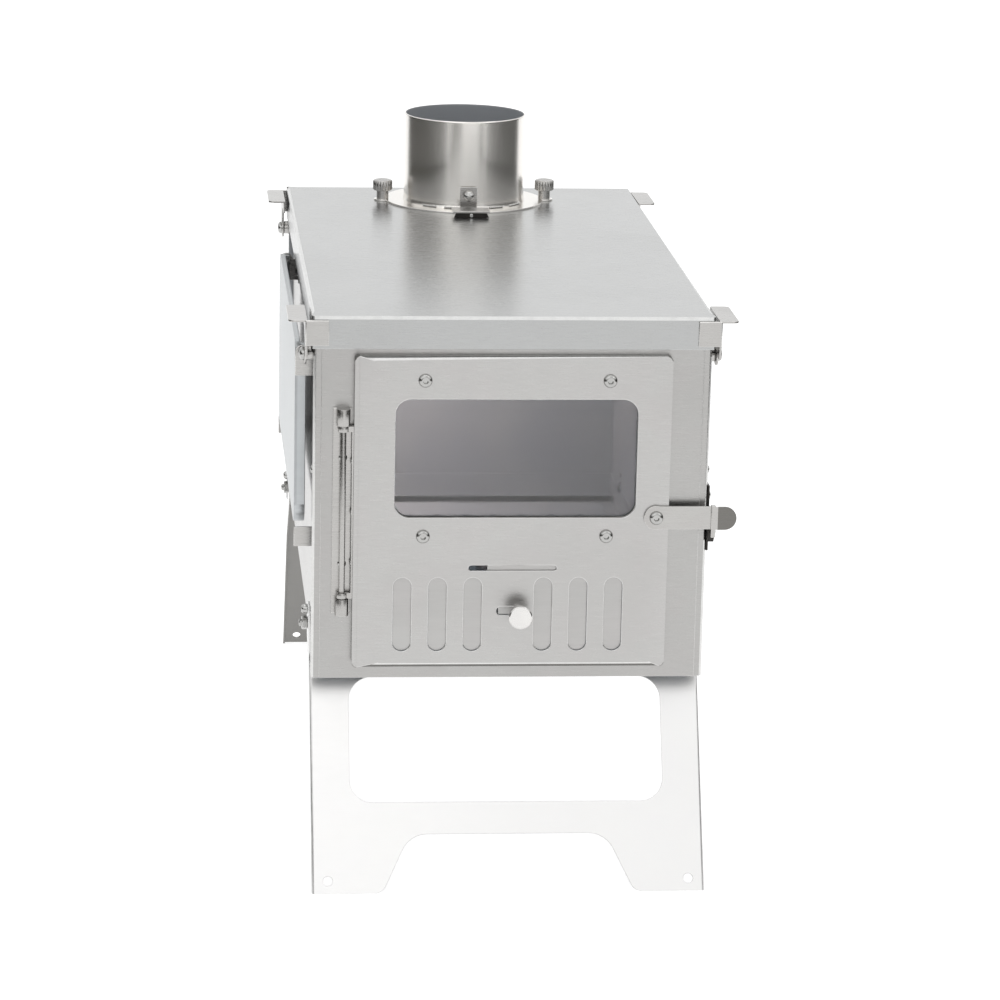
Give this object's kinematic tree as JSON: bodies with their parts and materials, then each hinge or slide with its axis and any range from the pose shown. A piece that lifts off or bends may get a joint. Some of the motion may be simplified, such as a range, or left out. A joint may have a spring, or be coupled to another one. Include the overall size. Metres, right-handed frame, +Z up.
{
  "type": "tent wood stove",
  "caption": "Folding sheet-metal wood stove for a tent: glazed hinged door with air damper, lift-off lid with stovepipe collar, side shelf and folding leg plates.",
  "frame": {"origin": "on the ground under the middle of the stove, at the centre of its bounding box", "axes": "+Z up, the door faces -Y, +X to the right of someone facing the door"},
  "size_m": [0.2476, 0.4926, 0.3725],
  "materials": {
    "satin_sheet": "satin, faintly stained",
    "lid_sheet": "smooth satin",
    "inner_sheet": "satin",
    "leg_sheet": "bright satin",
    "shelf_sheet": "bright satin",
    "fittings": "satin",
    "flue_tube": "brushed along the tube",
    "bright_steel": "polished",
    "ceramic_glass": "clear",
    "gasket_fibre": "matt woven fibre"
  },
  "bodies": {
    "firebox": {"front_frame": "satin_sheet", "rear_panel": "satin_sheet", "left_wall": "satin_sheet", "right_wall": "satin_sheet", "bottom_pan": "inner_sheet", "fire_grate": "inner_sheet", "hinge_bracket": "fittings", "hinge_rod": "fittings", "bracket_rivets": "bright_steel", "latch_keeper": "fittings", "keeper_rivets": "bright_steel", "shelf_brackets": "fittings", "shelf_bracket_rivets": "bright_steel", "shelf_rests": "fittings", "shelf_rest_rivets": "bright_steel", "latch_bolts": "bright_steel", "latch_bushes": "fittings", "leg_pivot_bolts": "bright_steel", "leg_pivot_nuts": "bright_steel", "leg_washers": "bright_steel", "leg_stop_bolts": "bright_steel", "wall_rivets": "bright_steel"},
    "door": {"door_panel": "satin_sheet", "window_glass": "ceramic_glass", "glass_gasket": "gasket_fibre", "glass_clamp": "inner_sheet", "window_bolts": "bright_steel", "window_nuts": "bright_steel", "hinge_leaf": "fittings", "leaf_rivets": "bright_steel", "arm_bolt": "bright_steel", "arm_nut": "bright_steel", "damper_guides": "inner_sheet"},
    "latch_arm": {"latch_arm": "fittings"},
    "damper": {"damper_plate": "inner_sheet", "damper_knob": "bright_steel", "damper_nut": "bright_steel"},
    "lid": {"lid_panel": "lid_sheet", "flue_flange": "flue_tube", "flue_collar": "flue_tube", "collar_clip": "fittings", "clip_bolt": "bright_steel", "flange_nuts": "bright_steel"},
    "left_thumbscrew": {"left_thumbscrew": "fittings"},
    "right_thumbscrew": {"right_thumbscrew": "fittings"},
    "front_legs": {"front_legs": "leg_sheet"},
    "rear_legs": {"rear_legs": "leg_sheet"},
    "side_shelf": {"side_shelf": "shelf_sheet", "shelf_pins": "bright_steel"},
    "front_left_latch": {"front_left_latch": "fittings"},
    "front_right_latch": {"front_right_latch": "fittings"},
    "rear_left_latch": {"rear_left_latch": "fittings"},
    "rear_right_latch": {"rear_right_latch": "fittings"}
  },
  "joints": [
    {"name": "door_swing", "type": "hinge", "parent": "firebox", "child": "door", "pos_m": [-0.0928, -0.2092, 0.206], "axis": [0, 0, -1], "range_deg": [0, 115]},
    {"name": "arm_lift", "type": "hinge", "parent": "door", "child": "latch_arm", "pos_m": [0.08, -0.2117, 0.2054], "axis": [0, -1, 0], "range_deg": [0, 100]},
    {"name": "damper_slide", "type": "slide", "parent": "door", "child": "damper", "axis": [-1, 0, 0], "range_m": [0, 0.00975]},
    {"name": "lid_lift", "type": "slide", "parent": "firebox", "child": "lid", "axis": [0, 0, 1], "range_m": [0, 0.06]},
    {"name": "left_thumbscrew_turn", "type": "hinge", "parent": "lid", "child": "left_thumbscrew", "pos_m": [-0.05147, 0.1582, 0.322], "axis": [0, 0, 1], "continuous": true},
    {"name": "right_thumbscrew_turn", "type": "hinge", "parent": "lid", "child": "right_thumbscrew", "pos_m": [0.05147, 0.1618, 0.322], "axis": [0, 0, 1], "continuous": true},
    {"name": "front_legs_fold", "type": "hinge", "parent": "firebox", "child": "front_legs", "pos_m": [0, -0.1562, 0.13], "axis": [1, 0, 0], "range_deg": [0, 110]},
    {"name": "rear_legs_fold", "type": "hinge", "parent": "firebox", "child": "rear_legs", "pos_m": [0, 0.1562, 0.13], "axis": [-1, 0, 0], "range_deg": [0, 110]},
    {"name": "shelf_lift", "type": "hinge", "parent": "firebox", "child": "side_shelf", "pos_m": [-0.1144, -0.05, 0.2916], "axis": [0, 1, 0], "range_deg": [0, 90]},
    {"name": "front_left_latch_swing", "type": "hinge", "parent": "firebox", "child": "front_left_latch", "pos_m": [-0.1133, -0.1907, 0.293], "axis": [1, 0, 0], "range_deg": [0, 45]},
    {"name": "front_right_latch_swing", "type": "hinge", "parent": "firebox", "child": "front_right_latch", "pos_m": [0.1133, -0.1907, 0.293], "axis": [1, 0, 0], "range_deg": [0, 45]},
    {"name": "rear_left_latch_swing", "type": "hinge", "parent": "firebox", "child": "rear_left_latch", "pos_m": [-0.1133, 0.1907, 0.293], "axis": [-1, 0, 0], "range_deg": [0, 45]},
    {"name": "rear_right_latch_swing", "type": "hinge", "parent": "firebox", "child": "rear_right_latch", "pos_m": [0.1133, 0.1907, 0.293], "axis": [-1, 0, 0], "range_deg": [0, 45]}
  ]
}
